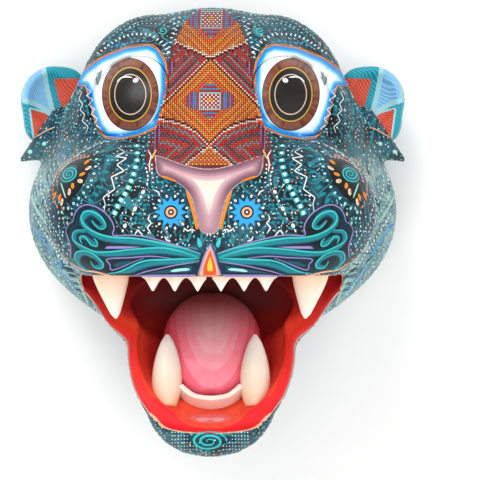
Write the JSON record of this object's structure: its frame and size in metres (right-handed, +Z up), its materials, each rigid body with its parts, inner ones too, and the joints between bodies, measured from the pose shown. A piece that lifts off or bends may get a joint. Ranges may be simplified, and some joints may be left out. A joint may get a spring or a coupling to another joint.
{
  "type": "mexican folk art mask",
  "caption": "Carved and painted big cat head wall mask with an open mouth, hollow back and a swinging D-ring hanger.",
  "frame": {"origin": "on the wall plane, at the middle of the mask's width, level with the muzzle", "axes": "+X to the viewer's right, +Z up, +Y into the wall, so the face looks along -Y"},
  "size_m": [0.3066, 0.209, 0.33],
  "materials": {
    "painted_wood": "satin acrylic paint in fine dots and strokes over sanded light wood",
    "eye_enamel": "glossy varnished paint",
    "tooth_paint": "satin cream and white paint",
    "tongue_paint": "satin pink paint",
    "zinc_steel": "zinc-plated"
  },
  "bodies": {
    "mask": {"head": "painted_wood", "ear_right": "painted_wood", "ear_left": "painted_wood", "eye_right": "eye_enamel", "eye_left": "eye_enamel", "upper_fang_right": "tooth_paint", "upper_fang_left": "tooth_paint", "lower_fang_right": "tooth_paint", "lower_fang_left": "tooth_paint", "upper_incisors": "tooth_paint", "lower_incisors": "tooth_paint", "tongue": "tongue_paint", "hanger_strap": "zinc_steel", "hanger_screw_lower": "zinc_steel", "hanger_screw_upper": "zinc_steel"},
    "hang_ring": {"hanger_ring": "zinc_steel"}
  },
  "joints": [
    {"name": "ring_swing", "type": "hinge", "parent": "mask", "child": "hang_ring", "pos_m": [0, -0.0056, 0.146], "axis": [1, 0, 0], "range_deg": [0, 180]}
  ]
}
